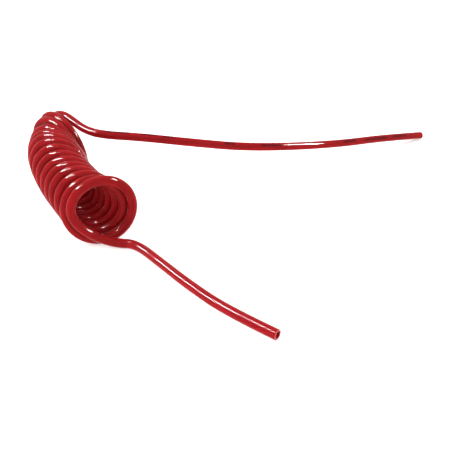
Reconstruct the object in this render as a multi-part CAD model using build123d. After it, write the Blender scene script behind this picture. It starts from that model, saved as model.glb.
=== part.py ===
"""Self-coiling polyurethane air hose, lying at rest on a flat surface.

One length of tube: a short front lead along the floor, a coil of close turns
bent round in plan, and a long rear lead that leaves the top of the last turn
and comes down to the floor. Millimetres, +Z up, origin under the middle of
the whole hose, at floor level.
"""
from build123d import *
import os
from math import cos, pi, radians, tan

# Driving dimensions
TUBE_OD = 6.35          # quarter-inch tube
TUBE_ID = 4.06
FLOOR_Z = TUBE_OD / 2   # height of the centreline where the tube lies down
ARC_SHARE = 0.45        # part of the shorter run that each corner's arc takes

# Centreline of the front lead, from its cut end to inside the coil
FRONT_ROUTE = [
    (14, -142, FLOOR_Z),
    (-12.5, -121.5, FLOOR_Z),
    (-42, -88.5, FLOOR_Z),
    (-72, -50.5, FLOOR_Z),
    (-97, -45.5, 10),
]

# Centreline of the rear lead, from inside the coil to its cut end
REAR_ROUTE = [
    (-146, 66, 40),
    (-136, 58, 47),
    (-121, 47, 45.5),
    (-107, 39, 44.5),
    (-78.5, 37, 43.5),
    (-43, 37, 39.5),
    (-2, 44, 32.5),
    (40, 61.5, 25.5),
    (85.5, 86.5, 18),
    (127, 117, 10.5),
    (169, 142.5, FLOOR_Z),
]

# Outer shape of the coil: circles that stand on the floor, from the front turn
# to the last one: centre x, centre y, yaw, lean, radius. The yaw turns the
# circle's face from +Y towards +X, and the lean tips it, both in degrees.
COIL_SECTIONS = [
    (-92, -48, -20, 0, 25.5),
    (-101.5, -36, -14, 0, 23.5),
    (-112, -22, -1, -3, 23),
    (-126, 0, 9, -6, 24),
    (-136, 20, 16, -7, 26),
    (-143.5, 40.5, 25, -9, 27),
    (-143, 54, 36, -9, 27.5),
    (-136.5, 68, 42, -7, 28),
]


def corner_radii(points):
    """The radius of the arc at each corner of a route."""
    corners = [Vector(*p) for p in points]
    radii = []
    for before, corner, after in zip(corners, corners[1:], corners[2:]):
        run_in = corner - before
        run_out = after - corner
        half_turn = radians(run_in.get_angle(run_out)) / 2
        shorter = min(run_in.length, run_out.length)
        radii.append(ARC_SHARE * shorter / tan(half_turn))
    return radii


def tube_along(points):
    """A hollow tube along straight runs joined by tangent arcs."""
    path = FilletPolyline(*points, radius=corner_radii(points))
    start = Plane(origin=path @ 0, z_dir=path % 0)
    ring = start * (Circle(TUBE_OD / 2) - Circle(TUBE_ID / 2))
    return sweep(ring, path=path), path


def coil_envelope():
    """The closed outer shape of the coil: one fat tube, bent in plan."""
    sections = []
    for x, y, yaw, lean, radius in COIL_SECTIONS:
        centre = Pos(x, y, radius * cos(radians(lean)))
        turned = Rotation(0, 0, -yaw) * Rotation(90 - lean, 0, 0)
        sections.append(centre * turned * Circle(radius))
    return loft(sections)


def report_tube(name, tube, path, points):
    """Print the tube's radii and compare its volume with its path's."""
    wall_area = pi * (TUBE_OD ** 2 - TUBE_ID ** 2) / 4
    radii = ", ".join(f"{radius:.0f}" for radius in corner_radii(points))
    share = tube.volume / (wall_area * path.length)
    print(f"{name}: length {path.length:.1f}, radii {radii}, volume share {share:.4f}")


def main():
    coil = coil_envelope()
    nodes = {"coil": coil}
    for name, route in (("front_lead", FRONT_ROUTE), ("rear_lead", REAR_ROUTE)):
        tube, path = tube_along(route)
        report_tube(name, tube, path, route)
        nodes[name] = tube - coil
    os.makedirs("parts", exist_ok=True)
    for name, shape in nodes.items():
        shape.label = name
        export_step(shape, f"parts/{name}.step")
    box = Compound(children=list(nodes.values())).bounding_box()
    print(f"whole hose: {box.min} to {box.max}")


main()
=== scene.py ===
"""Looks of the self-coiling air hose: one translucent tube, lying on a pale floor.

Everything is in metres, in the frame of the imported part.
"""
import math

import bmesh
import bpy
import numpy as np
from mathutils import Matrix, Vector


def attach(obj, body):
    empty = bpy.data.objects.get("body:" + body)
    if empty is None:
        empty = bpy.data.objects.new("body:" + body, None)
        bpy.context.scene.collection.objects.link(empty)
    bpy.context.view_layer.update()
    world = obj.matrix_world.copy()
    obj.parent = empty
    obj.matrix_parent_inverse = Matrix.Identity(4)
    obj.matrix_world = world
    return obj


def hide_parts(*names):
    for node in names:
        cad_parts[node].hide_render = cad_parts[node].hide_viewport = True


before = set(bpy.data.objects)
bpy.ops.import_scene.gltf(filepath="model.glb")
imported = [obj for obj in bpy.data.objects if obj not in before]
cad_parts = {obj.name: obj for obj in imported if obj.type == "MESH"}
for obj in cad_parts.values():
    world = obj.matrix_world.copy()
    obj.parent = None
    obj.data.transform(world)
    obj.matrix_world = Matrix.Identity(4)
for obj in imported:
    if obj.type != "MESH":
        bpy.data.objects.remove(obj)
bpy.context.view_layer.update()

MM = 0.001
TUBE_OD = 6.35 * MM
TUBE_ID = 4.06 * MM
FLOOR_Z = TUBE_OD / 2   # height of the centreline where the tube lies down

# Centreline of the front lead, from its cut end to the coil
FRONT_ROUTE = [
    (0.014, -0.142, FLOOR_Z),
    (-0.0125, -0.1215, FLOOR_Z),
    (-0.0345, -0.0975, FLOOR_Z),
    (-0.0525, -0.0750, FLOOR_Z),
    (-0.0727, -0.0497, FLOOR_Z),
]

# Centreline of the rear lead, from the coil to its cut end
REAR_ROUTE = [
    (-0.1300, 0.0540, 0.0490),
    (-0.1210, 0.0470, 0.0455),
    (-0.1070, 0.0390, 0.0445),
    (-0.0785, 0.0370, 0.0435),
    (-0.043, 0.037, 0.0395),
    (-0.002, 0.044, 0.0325),
    (0.040, 0.0615, 0.0255),
    (0.0855, 0.0865, 0.018),
    (0.127, 0.117, 0.0105),
    (0.1676, 0.1417, FLOOR_Z),
]

# How the turns of the coil lie. At each turn number: the ring's centre in metres, its yaw and
# its lean in degrees, and its radius. Between them everything changes smoothly.
COIL_STATIONS = [
    (0.0, -0.0743, -0.0729, 0.0177, 22, -50.5, 0.0226),
    (0.5, -0.0956, -0.0407, 0.0213, -4, -7.5, 0.0250),
    (1.0, -0.0986, -0.0400, 0.0236, -13, 10.5, 0.0210),
    (1.75, -0.1015, -0.0359, 0.0237, -9.5, 5, 0.0198),
    (3.0, -0.1091, -0.0258, 0.0236, 1.5, -0.5, 0.0202),
    (5.0, -0.1189, -0.0116, 0.0240, 7.5, -2, 0.0206),
    (7.25, -0.1295, 0.0057, 0.0253, 15, -3.5, 0.0219),
    (9.5, -0.1374, 0.0235, 0.0265, 20, -5, 0.0234),
    (11.5, -0.1423, 0.0401, 0.0264, 28.5, -7, 0.0234),
    (13.0, -0.1442, 0.0559, 0.0279, 44, -8, 0.0247),
    (14.5, -0.1372, 0.0642, 0.0273, 42, -7, 0.0242),
]
POINTS_PER_TURN = 12
# The spline runs inside its points, so they stand further out than the coil's radius by this factor
POINTS_OUT = 1 / math.cos(math.pi / POINTS_PER_TURN)

SIDES = 24              # faces round the tube
STEPS_PER_POINT = 8     # rings of the tube for each point of the route
CHAMFER = 0.15 * MM     # at the rims of the two cut ends
CUT_FACE = 1            # the cut faces' place in the hose's list of materials
SHARP_ANGLE = math.radians(30)

# The ink legend on the rear lead: plain bars in words. Each word runs from and to a distance from
# the rear cut end, and its middle is turned up from the horizontal by an angle in degrees.
LEGEND_WORDS = [
    (0.024, 0.042, 42),
    (0.048, 0.075, 34),
    (0.088, 0.101, 46),
    (0.165, 0.182, 44),
    (0.204, 0.213, 54),
    (0.250, 0.258, 74),
    (0.263, 0.275, 78),
    (0.284, 0.303, 78),
]
BAR_PITCH = 1.7 * MM
BAR_LENGTH = 1.1 * MM
TALL_BAR = math.radians(40)     # how far round the tube a bar reaches
SHORT_BAR = math.radians(26)
SHORT_EVERY = 3         # one bar in three is short
INK_PROUD = 0.04 * MM
INK_SUNK = 0.06 * MM
POINTS_ACROSS_BAR = 5

# The two colours that each material's tint goes back and forth between
SKIN_COLOURS = (0.42, 0.008, 0.010), (0.52, 0.012, 0.016)
CUT_COLOURS = (0.62, 0.14, 0.15), (0.76, 0.20, 0.21)
INK_COLOURS = (0.03, 0.004, 0.006), (0.10, 0.006, 0.010)
NOISE_FROM, NOISE_TO = 0.3, 0.7     # nearly all of a noise texture's values lie between these

# The photograph's camera, facing +Y; its tilt is in degrees up from straight down
CAMERA_PLACE = (-0.014, -0.3965, 0.2176)
CAMERA_TILT = 60
CAMERA_NEAR = 0.01
LENS_MM = 49.33
SENSOR_MM = 36

STUDIO_RADIUS = 4       # half the floor's width, and the backdrop's radius
DOME_SIDES = 32
DOME_RINGS = 16
PALE = (0.9, 0.9, 0.9, 1)
WHITE = (1, 1, 1, 1)
BLACK = (0, 0, 0, 1)
FLOOR_GLOW = 0.55       # washes the shadows out, as on a lit table

# Soft suns that light the hose and the floor but make no highlights: name, azimuth that the light
# comes from (0 is +Y, 90 is +X), elevation and spread in degrees, strength
SUNS = [
    ("left_key", -110, 40, 40, 2.8),
    ("back_fill", -30, 60, 50, 1.8),
    ("right_key", 75, 40, 40, 1.8),
]

# Long softboxes seen only as highlights. A narrow spread, in degrees, keeps one off the coil.
SOFTBOXES = {
    "left_rear": dict(
        start=(-0.385, 0.055, 0.218), end=(-0.295, -0.056, 0.280), width=0.018,
        aim=(-0.06, -0.06, 0.02), spread=180, power=1.35,
    ),
    "left_front": dict(
        start=(-0.295, -0.056, 0.280), end=(-0.212, -0.158, 0.338), width=0.018,
        aim=(0.00, -0.13, 0.00), spread=36, power=0.06,
    ),
    "right": dict(
        start=(1.33, 0.21, 1.43), end=(1.62, -0.12, 0.95), width=0.14,
        aim=(-0.05, 0.00, 0.03), spread=180, power=36,
    ),
}

# The surroundings are bright in this direction, down behind the hose, and dim elsewhere. The glow
# sets in at one cosine of the angle from the direction and is full at the other.
GLOW_DIRECTION = (0, 0.8, -0.6)
GLOW_SETS_IN = 0.68
GLOW_FULL = 0.95
GLOW = 1.5
DIM = 0.2


def placed(name, data):
    """A new object in the scene, made of a mesh, a light or a camera."""
    thing = bpy.data.objects.new(name, data)
    bpy.context.scene.collection.objects.link(thing)
    return thing


# ---------------------------------------------------------------- camera

def make_camera():
    data = bpy.data.cameras.new("camera")
    data.lens = LENS_MM
    data.sensor_width = SENSOR_MM
    data.clip_start = CAMERA_NEAR
    camera = placed("camera", data)
    camera.location = CAMERA_PLACE
    camera.rotation_euler = (math.radians(CAMERA_TILT), 0, 0)
    bpy.context.scene.camera = camera


# ---------------------------------------------------------------- the hose's route

def through(knots, values, places):
    """Values at other places on the smooth curve through the values at the knots."""
    steps = np.diff(knots)
    slopes = np.diff(values, axis=0) / steps[:, None]
    count = len(knots)
    system = np.eye(count)
    right = np.zeros(values.shape)
    for i in range(1, count - 1):
        system[i, i - 1 : i + 2] = steps[i - 1], 2 * (steps[i - 1] + steps[i]), steps[i]
        right[i] = 6 * (slopes[i] - slopes[i - 1])
    bends = np.linalg.solve(system, right)
    at = np.clip(np.searchsorted(knots, places, side="right") - 1, 0, count - 2)
    step = steps[at][:, None]
    after = (places - knots[at])[:, None]
    before = step - after
    return (
        (bends[at] * before ** 3 + bends[at + 1] * after ** 3) / (6 * step)
        + (values[at] / step - bends[at] * step / 6) * before
        + (values[at + 1] / step - bends[at + 1] * step / 6) * after
    )


def coil_turns():
    """The route's points round the coil, from the bottom of the front turn to the top of the last."""
    stations = np.array(COIL_STATIONS)
    count = round(stations[-1, 0] * POINTS_PER_TURN)
    turns = np.arange(1, count + 1) / POINTS_PER_TURN
    rows = through(stations[:, 0], stations[:, 1:], turns)
    yaws, leans = np.radians(rows[:, 3:5]).T
    points = []
    for turn, centre, yaw, lean, radius in zip(turns, rows[:, :3], yaws, leans, rows[:, 5]):
        across = np.array((math.cos(yaw), -math.sin(yaw), 0))
        along = np.array((math.sin(yaw), math.cos(yaw), 0))
        up = np.array((0, 0, math.cos(lean))) + along * math.sin(lean)
        angle = 2 * math.pi * turn
        inwards = math.sin(angle) * across + math.cos(angle) * up
        points.append(centre - radius * POINTS_OUT * inwards)
    return points


def route_line(points):
    """Points down the middle of the hose, read from its NURBS spline."""
    curve = bpy.data.curves.new("route", "CURVE")
    curve.dimensions = "3D"
    curve.resolution_u = STEPS_PER_POINT
    spline = curve.splines.new("NURBS")
    spline.points.add(len(points) - 1)
    for control, point in zip(spline.points, points):
        control.co = (*point, 1)
    spline.order_u = 3
    spline.use_endpoint_u = True
    bare = bpy.data.objects.new("route", curve)
    mesh = bpy.data.meshes.new_from_object(bare)
    line = np.array([vertex.co for vertex in mesh.vertices])
    bpy.data.objects.remove(bare)
    bpy.data.curves.remove(curve)
    bpy.data.meshes.remove(mesh)
    return line


def carried_frames(line):
    """The direction at each point of a line, and a sideways vector carried along it without twist."""
    ahead = np.gradient(line, axis=0)
    ahead /= np.linalg.norm(ahead, axis=1)[:, None]
    side = np.cross(ahead[0], (0, 0, 1))
    sides = []
    for direction in ahead:
        side = side - direction * (side @ direction)
        side /= np.linalg.norm(side)
        sides.append(side)
    return ahead, np.array(sides)


# ---------------------------------------------------------------- meshes

def ring_points(centre, direction, side, radius):
    """A circle of points round the line, the first of them to the side."""
    other = np.cross(direction, side)
    angles = 2 * np.pi * np.arange(SIDES) / SIDES
    return centre + radius * (np.outer(np.cos(angles), side) + np.outer(np.sin(angles), other))


def join_rings(builder, near, far):
    """Quads between two rings with the same number of vertices."""
    return [
        builder.faces.new((near[a - 1], near[a], far[a], far[a - 1]))
        for a in range(len(near))
    ]


def finished_mesh(name, builder):
    """The piece in the scene: smooth, with its edges kept sharp."""
    bmesh.ops.recalc_face_normals(builder, faces=builder.faces)
    mesh = bpy.data.meshes.new(name)
    builder.to_mesh(mesh)
    builder.free()
    mesh.shade_smooth()
    mesh.set_sharp_from_angle(angle=SHARP_ANGLE)
    return placed(name, mesh)


def tube_mesh(name, line):
    """A hollow tube round the line: outer wall, bore wall and two flat cut ends."""
    ahead, sides = carried_frames(line)
    rings = []
    for radius, flare in ((TUBE_OD / 2, -CHAMFER), (TUBE_ID / 2, CHAMFER)):
        wall = [ring_points(*frame_at, radius) for frame_at in zip(line, ahead, sides)]
        for end, inward in ((0, 1), (-1, -1)):
            rim = ring_points(line[end], ahead[end], sides[end], radius + flare)
            wall[end] = wall[end] + inward * CHAMFER * ahead[end]
            wall.insert(0 if end == 0 else len(wall), rim)
        rings.append(wall)
    builder = bmesh.new()
    outer, bore = [[[builder.verts.new(point) for point in ring] for ring in wall] for wall in rings]
    for wall in (outer, bore):
        for near, far in zip(wall[:-1], wall[1:]):
            join_rings(builder, near, far)
    for end in (0, -1):
        for face in join_rings(builder, outer[end], bore[end]):
            face.material_index = CUT_FACE
    return finished_mesh(name, builder)


def bar_ring(line, distances, distance, tilt, reach):
    """The outline of an ink bar round the tube, at a distance from the rear cut end."""
    centre, further = (
        np.array([np.interp(place, distances, line[:, axis]) for axis in range(3)])
        for place in (distance, distance + BAR_LENGTH)
    )
    direction = (centre - further) / np.linalg.norm(centre - further)
    across = np.cross(direction, (0, 0, 1))
    across /= np.linalg.norm(across)
    up = np.cross(across, direction)
    angles = math.radians(tilt) + np.linspace(-reach / 2, reach / 2, POINTS_ACROSS_BAR)
    outwards = np.outer(np.cos(angles), across) + np.outer(np.sin(angles), up)
    return [
        *(centre + (TUBE_OD / 2 + INK_PROUD) * outwards),
        *(centre + (TUBE_OD / 2 - INK_SUNK) * outwards[::-1]),
    ]


def legend_mesh(name, line):
    """Rows of thin ink bars that follow the rear lead's surface."""
    line = line[::-1]
    distances = np.concatenate(([0], np.cumsum(np.linalg.norm(np.diff(line, axis=0), axis=1))))
    builder = bmesh.new()
    for start, end, tilt in LEGEND_WORDS:
        for index, distance in enumerate(np.arange(start, end - BAR_LENGTH, BAR_PITCH)):
            reach = SHORT_BAR if index % SHORT_EVERY == 1 else TALL_BAR
            near, far = (
                [builder.verts.new(point) for point in bar_ring(line, distances, place, tilt, reach)]
                for place in (distance, distance + BAR_LENGTH)
            )
            join_rings(builder, near, far)
            builder.faces.new(near)
            builder.faces.new(far)
    return finished_mesh(name, builder)


# ---------------------------------------------------------------- materials

def new_material(name):
    """A material and its shader."""
    material = bpy.data.materials.new(name)
    material.use_nodes = True
    return material, material.node_tree.nodes["Principled BSDF"]


def noise(material, scale, detail, low, high):
    """A smooth pattern fixed to the piece, spread from low to high; scale is in bumps per metre."""
    nodes, links = material.node_tree.nodes, material.node_tree.links
    place = nodes.new("ShaderNodeTexCoord")
    pattern = nodes.new("ShaderNodeTexNoise")
    pattern.inputs["Scale"].default_value = scale
    pattern.inputs["Detail"].default_value = detail
    spread = nodes.new("ShaderNodeMapRange")
    spread.inputs["From Min"].default_value = NOISE_FROM
    spread.inputs["From Max"].default_value = NOISE_TO
    spread.inputs["To Min"].default_value = low
    spread.inputs["To Max"].default_value = high
    links.new(place.outputs["Object"], pattern.inputs["Vector"])
    links.new(pattern.outputs["Fac"], spread.inputs["Value"])
    return spread.outputs["Result"]


def blend(material, share, first, second):
    """One colour going over to another by a pattern."""
    nodes, links = material.node_tree.nodes, material.node_tree.links
    mix = nodes.new("ShaderNodeMix")
    mix.data_type = "RGBA"
    mix.inputs["A"].default_value = (*first, 1)
    mix.inputs["B"].default_value = (*second, 1)
    links.new(share, mix.inputs["Factor"])
    return mix.outputs["Result"]


def polyurethane():
    """Glossy translucent red tube: slow changes of tint, faint smears and a fine ripple."""
    material, shader = new_material("red_polyurethane")
    nodes, links = material.node_tree.nodes, material.node_tree.links
    shader.inputs["IOR"].default_value = 1.5
    shader.inputs["Transmission Weight"].default_value = 0.4
    shader.inputs["Sheen Weight"].default_value = 0.2
    shader.inputs["Sheen Roughness"].default_value = 0.3
    shader.inputs["Sheen Tint"].default_value = (1, 0.6, 0.6, 1)
    clouds = noise(material, scale=70, detail=2, low=0, high=1)
    links.new(blend(material, clouds, *SKIN_COLOURS), shader.inputs["Base Color"])
    smears = noise(material, scale=160, detail=3, low=0.01, high=0.05)
    links.new(smears, shader.inputs["Roughness"])
    ripple = nodes.new("ShaderNodeBump")
    ripple.inputs["Strength"].default_value = 0.15
    ripple.inputs["Distance"].default_value = 0.02 * MM
    links.new(noise(material, scale=300, detail=1, low=0, high=1), ripple.inputs["Height"])
    links.new(ripple.outputs["Normal"], shader.inputs["Normal"])
    return material


def cut_polyurethane():
    """The knife-cut faces of the tube: paler and duller than its skin."""
    material, shader = new_material("cut_polyurethane")
    links = material.node_tree.links
    grain = noise(material, scale=1200, detail=2, low=0, high=1)
    links.new(blend(material, grain, *CUT_COLOURS), shader.inputs["Base Color"])
    scratches = noise(material, scale=2500, detail=2, low=0.4, high=0.6)
    links.new(scratches, shader.inputs["Roughness"])
    return material


def ink():
    """Dark printing ink, worn thin in places."""
    material, shader = new_material("legend_ink")
    links = material.node_tree.links
    wear = noise(material, scale=1500, detail=2, low=0, high=1)
    links.new(blend(material, wear, *INK_COLOURS), shader.inputs["Base Color"])
    links.new(noise(material, scale=900, detail=2, low=0.6, high=0.8), shader.inputs["Roughness"])
    shader.inputs["Specular IOR Level"].default_value = 0.05
    return material


# ---------------------------------------------------------------- stage

def make_floor():
    """A pale floor, left out of reflections so that the hose's lower sides stay clear."""
    material, shader = new_material("floor")
    shader.inputs["Base Color"].default_value = PALE
    shader.inputs["Emission Color"].default_value = PALE
    shader.inputs["Emission Strength"].default_value = FLOOR_GLOW
    mesh = bpy.data.meshes.new("floor")
    corners = [(x, y, 0) for x, y in ((-1, -1), (1, -1), (1, 1), (-1, 1))]
    mesh.from_pydata(corners, [], [(0, 1, 2, 3)])
    mesh.transform(Matrix.Scale(STUDIO_RADIUS, 4))
    mesh.materials.append(material)
    floor = placed("floor", mesh)
    floor.visible_glossy = False


def make_backdrop():
    """A plain white dome that closes every view above the floor; it lights and shades nothing."""
    material, shader = new_material("backdrop")
    shader.inputs["Base Color"].default_value = BLACK
    shader.inputs["Specular IOR Level"].default_value = 0
    shader.inputs["Emission Color"].default_value = WHITE
    shader.inputs["Emission Strength"].default_value = 1
    builder = bmesh.new()
    bmesh.ops.create_uvsphere(
        builder, u_segments=DOME_SIDES, v_segments=DOME_RINGS, radius=STUDIO_RADIUS,
    )
    mesh = bpy.data.meshes.new("backdrop")
    builder.to_mesh(mesh)
    builder.free()
    mesh.materials.append(material)
    dome = placed("backdrop", mesh)
    dome.visible_diffuse = False
    dome.visible_glossy = False
    dome.visible_transmission = False
    dome.visible_shadow = False


def softbox(name, start, end, width, aim, spread, power):
    """A strip of light from start to end that faces the aim, seen only in reflections."""
    start, end, aim = Vector(start), Vector(end), Vector(aim)
    middle = (start + end) / 2
    backwards = (middle - aim).normalized()
    along = end - start
    along = (along - backwards * along.dot(backwards)).normalized()
    data = bpy.data.lights.new(name, "AREA")
    data.shape = "RECTANGLE"
    data.size = (end - start).length
    data.size_y = width
    data.spread = math.radians(spread)
    data.energy = power
    light = placed(name, data)
    turned = Matrix((along, backwards.cross(along), backwards)).transposed()
    light.matrix_world = Matrix.Translation(middle) @ turned.to_4x4()
    light.visible_camera = False
    light.visible_diffuse = False
    light.visible_transmission = False


def soft_sun(name, azimuth, elevation, spread, strength):
    data = bpy.data.lights.new(name, "SUN")
    data.angle = math.radians(spread)
    data.energy = strength
    light = placed(name, data)
    light.rotation_euler = (math.radians(90 - elevation), 0, math.radians(180 - azimuth))
    light.visible_glossy = False
    light.visible_transmission = False


def make_world():
    """Surroundings that glow in one direction; the hose mirrors them."""
    world = bpy.data.worlds.new("studio")
    world.use_nodes = True
    nodes, links = world.node_tree.nodes, world.node_tree.links
    background = nodes["Background"]
    background.inputs["Color"].default_value = WHITE
    place = nodes.new("ShaderNodeTexCoord")
    towards = nodes.new("ShaderNodeVectorMath")
    towards.operation = "DOT_PRODUCT"
    towards.inputs[1].default_value = GLOW_DIRECTION
    glow = nodes.new("ShaderNodeMapRange")
    glow.inputs["From Min"].default_value = GLOW_SETS_IN
    glow.inputs["From Max"].default_value = GLOW_FULL
    glow.inputs["To Min"].default_value = DIM
    glow.inputs["To Max"].default_value = GLOW
    links.new(place.outputs["Generated"], towards.inputs[0])
    links.new(towards.outputs["Value"], glow.inputs["Value"])
    links.new(glow.outputs["Result"], background.inputs["Strength"])
    bpy.context.scene.world = world


def make_lights():
    make_world()
    for name, box in SOFTBOXES.items():
        softbox(name, **box)
    for sun in SUNS:
        soft_sun(*sun)
    bpy.context.scene.view_settings.view_transform = "Standard"


make_camera()
line = route_line(FRONT_ROUTE + coil_turns() + REAR_ROUTE)
hose = tube_mesh("hose", line)
hose.data.materials.append(polyurethane())
hose.data.materials.append(cut_polyurethane())
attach(hose, "root")
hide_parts("front_lead", "coil", "rear_lead")
legend = legend_mesh("legend", line)
legend.data.materials.append(ink())
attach(legend, "root")
make_floor()
make_backdrop()
make_lights()
